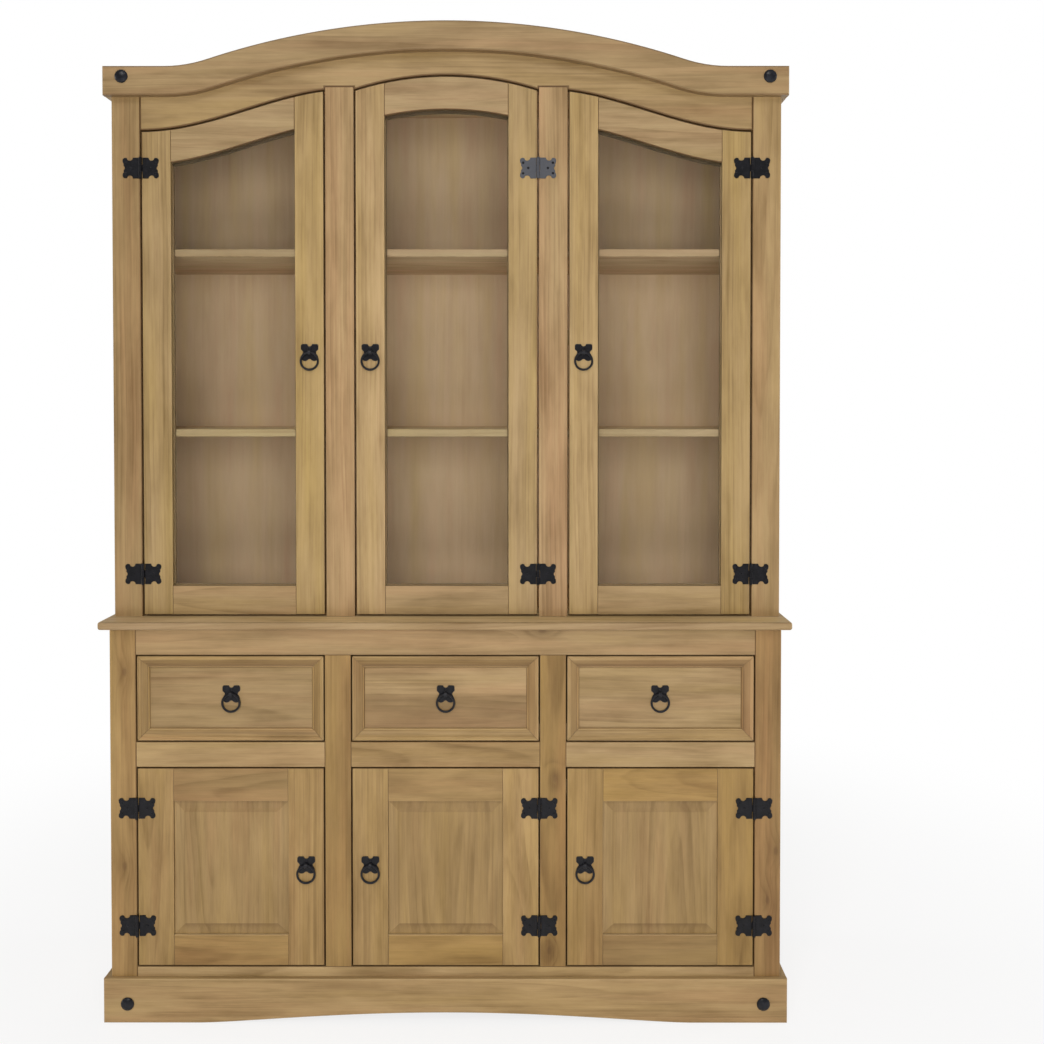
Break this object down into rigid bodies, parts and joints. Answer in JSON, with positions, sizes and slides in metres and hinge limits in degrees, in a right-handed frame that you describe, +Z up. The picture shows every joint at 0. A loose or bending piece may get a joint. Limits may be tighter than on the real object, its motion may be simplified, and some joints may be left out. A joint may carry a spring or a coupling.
{
  "type": "buffet and hutch",
  "caption": "Waxed pine buffet with drawers and panelled doors under a glazed hutch with an arched crown, black iron butterfly hinges and ring pulls.",
  "frame": {"origin": "on the floor, at the middle of the footprint", "axes": "+Z up, +Y to the back that stands against the wall, +X to the right seen from the front"},
  "size_m": [1.35, 0.43, 1.965],
  "materials": {
    "waxed_pine": "antique wax, satin",
    "pine_plywood": "bare, matt",
    "black_iron": "black painted, hammered, semi-matt",
    "clear_glass": "clear"
  },
  "bodies": {
    "case": {"crown": "waxed_pine", "hutch_arch_rail": "waxed_pine", "hutch_posts": "waxed_pine", "hutch_mullions": "waxed_pine", "hutch_sides": "waxed_pine", "hutch_top_board": "waxed_pine", "hutch_floor_board": "waxed_pine", "hutch_shelves": "waxed_pine", "hutch_back_panel": "pine_plywood", "buffet_counter_top": "waxed_pine", "buffet_posts": "waxed_pine", "buffet_mullions": "waxed_pine", "buffet_front_rails": "waxed_pine", "buffet_sides": "waxed_pine", "buffet_back_panel": "pine_plywood", "buffet_floor_board": "waxed_pine", "buffet_shelves": "waxed_pine", "buffet_partitions": "waxed_pine", "drawer_runners": "waxed_pine", "plinth": "waxed_pine", "iron_studs": "black_iron", "frame_hinge_ironwork": "black_iron", "hinge_pins": "black_iron", "door_catches": "waxed_pine"},
    "glazed_door_left": {"glazed_door_left_frame": "waxed_pine", "glazed_door_left_glass": "clear_glass", "glazed_door_left_ironwork": "black_iron"},
    "glazed_door_left_ring": {"glazed_door_left_ring": "black_iron"},
    "buffet_door_left": {"buffet_door_left_frame": "waxed_pine", "buffet_door_left_panel": "waxed_pine", "buffet_door_left_ironwork": "black_iron"},
    "buffet_door_left_ring": {"buffet_door_left_ring": "black_iron"},
    "drawer_left": {"drawer_left_front": "waxed_pine", "drawer_left_box": "waxed_pine", "drawer_left_pull_plate": "black_iron"},
    "drawer_left_pull_ring": {"drawer_left_pull_ring": "black_iron"},
    "glazed_door_middle": {"glazed_door_middle_frame": "waxed_pine", "glazed_door_middle_glass": "clear_glass", "glazed_door_middle_ironwork": "black_iron"},
    "glazed_door_middle_ring": {"glazed_door_middle_ring": "black_iron"},
    "buffet_door_middle": {"buffet_door_middle_frame": "waxed_pine", "buffet_door_middle_panel": "waxed_pine", "buffet_door_middle_ironwork": "black_iron"},
    "buffet_door_middle_ring": {"buffet_door_middle_ring": "black_iron"},
    "drawer_middle": {"drawer_middle_front": "waxed_pine", "drawer_middle_box": "waxed_pine", "drawer_middle_pull_plate": "black_iron"},
    "drawer_middle_pull_ring": {"drawer_middle_pull_ring": "black_iron"},
    "glazed_door_right": {"glazed_door_right_frame": "waxed_pine", "glazed_door_right_glass": "clear_glass", "glazed_door_right_ironwork": "black_iron"},
    "glazed_door_right_ring": {"glazed_door_right_ring": "black_iron"},
    "buffet_door_right": {"buffet_door_right_frame": "waxed_pine", "buffet_door_right_panel": "waxed_pine", "buffet_door_right_ironwork": "black_iron"},
    "buffet_door_right_ring": {"buffet_door_right_ring": "black_iron"},
    "drawer_right": {"drawer_right_front": "waxed_pine", "drawer_right_box": "waxed_pine", "drawer_right_pull_plate": "black_iron"},
    "drawer_right_pull_ring": {"drawer_right_pull_ring": "black_iron"}
  },
  "joints": [
    {"name": "glazed_door_left_hinge", "type": "hinge", "parent": "case", "child": "glazed_door_left", "pos_m": [-0.60535, -0.1487, 0], "axis": [0, 0, -1], "range_deg": [0, 110]},
    {"name": "glazed_door_left_ring_swing", "type": "hinge", "parent": "glazed_door_left", "child": "glazed_door_left_ring", "pos_m": [-0.27213, -0.1499, 1.314], "axis": [-1, 0, 0], "range_deg": [0, 100]},
    {"name": "buffet_door_left_hinge", "type": "hinge", "parent": "case", "child": "buffet_door_left", "pos_m": [-0.60475, -0.1987, 0], "axis": [0, 0, -1], "range_deg": [0, 110]},
    {"name": "buffet_door_left_ring_swing", "type": "hinge", "parent": "buffet_door_left", "child": "buffet_door_left_ring", "pos_m": [-0.2735, -0.1999, 0.3075], "axis": [-1, 0, 0], "range_deg": [0, 100]},
    {"name": "drawer_left_slide", "type": "slide", "parent": "case", "child": "drawer_left", "axis": [0, -1, 0], "range_m": [0, 0.28]},
    {"name": "drawer_left_pull_ring_swing", "type": "hinge", "parent": "drawer_left", "child": "drawer_left_pull_ring", "pos_m": [-0.421, -0.1909, 0.6425], "axis": [-1, 0, 0], "range_deg": [0, 100]},
    {"name": "glazed_door_middle_hinge", "type": "hinge", "parent": "case", "child": "glazed_door_middle", "pos_m": [0.18168, -0.1487, 0], "axis": [0, 0, 1], "range_deg": [0, 110]},
    {"name": "glazed_door_middle_ring_swing", "type": "hinge", "parent": "glazed_door_middle", "child": "glazed_door_middle_ring", "pos_m": [-0.15153, -0.1499, 1.314], "axis": [-1, 0, 0], "range_deg": [0, 100]},
    {"name": "buffet_door_middle_hinge", "type": "hinge", "parent": "case", "child": "buffet_door_middle", "pos_m": [0.18375, -0.1987, 0], "axis": [0, 0, 1], "range_deg": [0, 110]},
    {"name": "buffet_door_middle_ring_swing", "type": "hinge", "parent": "buffet_door_middle", "child": "buffet_door_middle_ring", "pos_m": [-0.1475, -0.1999, 0.3075], "axis": [-1, 0, 0], "range_deg": [0, 100]},
    {"name": "drawer_middle_slide", "type": "slide", "parent": "case", "child": "drawer_middle", "axis": [0, -1, 0], "range_m": [0, 0.28]},
    {"name": "drawer_middle_pull_ring_swing", "type": "hinge", "parent": "drawer_middle", "child": "drawer_middle_pull_ring", "pos_m": [0, -0.1909, 0.6425], "axis": [-1, 0, 0], "range_deg": [0, 100]},
    {"name": "glazed_door_right_hinge", "type": "hinge", "parent": "case", "child": "glazed_door_right", "pos_m": [0.60535, -0.1487, 0], "axis": [0, 0, 1], "range_deg": [0, 110]},
    {"name": "glazed_door_right_ring_swing", "type": "hinge", "parent": "glazed_door_right", "child": "glazed_door_right_ring", "pos_m": [0.27213, -0.1499, 1.314], "axis": [-1, 0, 0], "range_deg": [0, 100]},
    {"name": "buffet_door_right_hinge", "type": "hinge", "parent": "case", "child": "buffet_door_right", "pos_m": [0.60475, -0.1987, 0], "axis": [0, 0, 1], "range_deg": [0, 110]},
    {"name": "buffet_door_right_ring_swing", "type": "hinge", "parent": "buffet_door_right", "child": "buffet_door_right_ring", "pos_m": [0.2735, -0.1999, 0.3075], "axis": [-1, 0, 0], "range_deg": [0, 100]},
    {"name": "drawer_right_slide", "type": "slide", "parent": "case", "child": "drawer_right", "axis": [0, -1, 0], "range_m": [0, 0.28]},
    {"name": "drawer_right_pull_ring_swing", "type": "hinge", "parent": "drawer_right", "child": "drawer_right_pull_ring", "pos_m": [0.421, -0.1909, 0.6425], "axis": [-1, 0, 0], "range_deg": [0, 100]}
  ]
}
